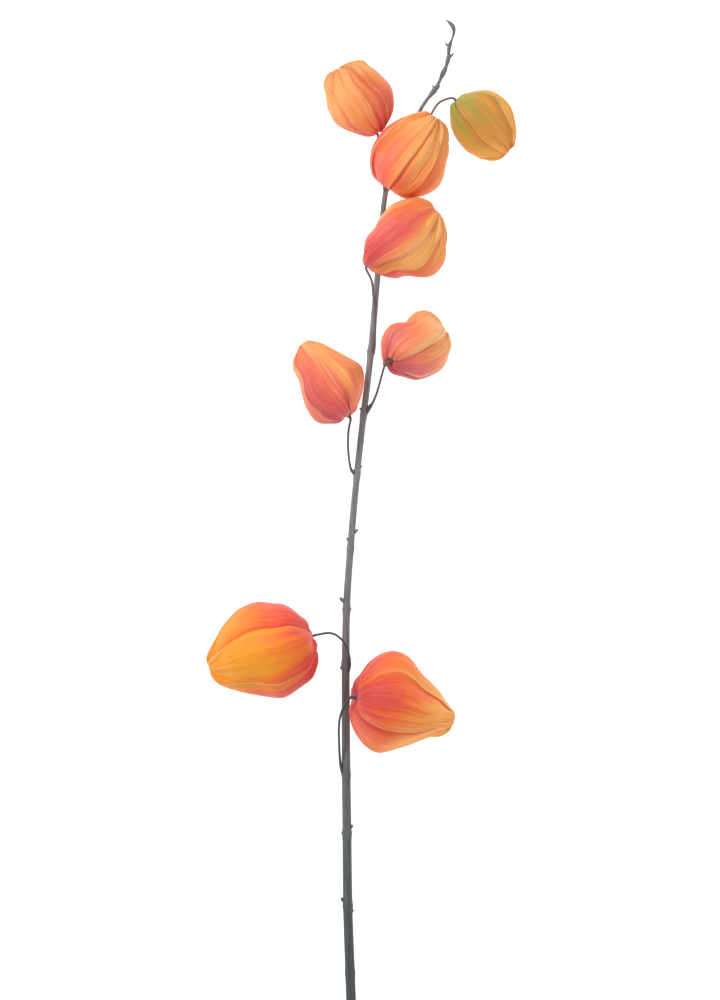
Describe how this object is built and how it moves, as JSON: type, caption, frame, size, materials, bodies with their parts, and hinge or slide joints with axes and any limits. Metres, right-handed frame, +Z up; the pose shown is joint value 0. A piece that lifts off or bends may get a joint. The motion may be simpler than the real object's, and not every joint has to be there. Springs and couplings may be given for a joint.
{
  "type": "cut physalis spray",
  "caption": "Cut stem of physalis lying on a table, with papery orange lantern husks on thin curved stalks and one husk still partly green",
  "frame": {"origin": "middle of the spray's footprint, on the surface that it lies on", "axes": "+Y runs along the stem from the cut end to the tip, +X is to the right seen from above, +Z is up"},
  "size_m": [0.1682, 0.5538, 0.0531],
  "materials": {
    "bark": "matte",
    "stalk_skin": "matte",
    "ripe_husk": "satin",
    "unripe_husk": "satin"
  },
  "bodies": {
    "root": {"main_stem": "bark", "tip_bud": "bark", "stalk_1": "stalk_skin", "stalk_2": "stalk_skin", "stalk_3": "stalk_skin", "stalk_4": "stalk_skin", "stalk_5": "stalk_skin", "stalk_6": "stalk_skin", "stalk_7": "stalk_skin", "stalk_8": "stalk_skin", "husk_1": "ripe_husk", "husk_2": "ripe_husk", "husk_3": "ripe_husk", "husk_4": "ripe_husk", "husk_5": "ripe_husk", "husk_6": "ripe_husk", "husk_7": "ripe_husk", "husk_8": "unripe_husk"}
  },
  "joints": []
}
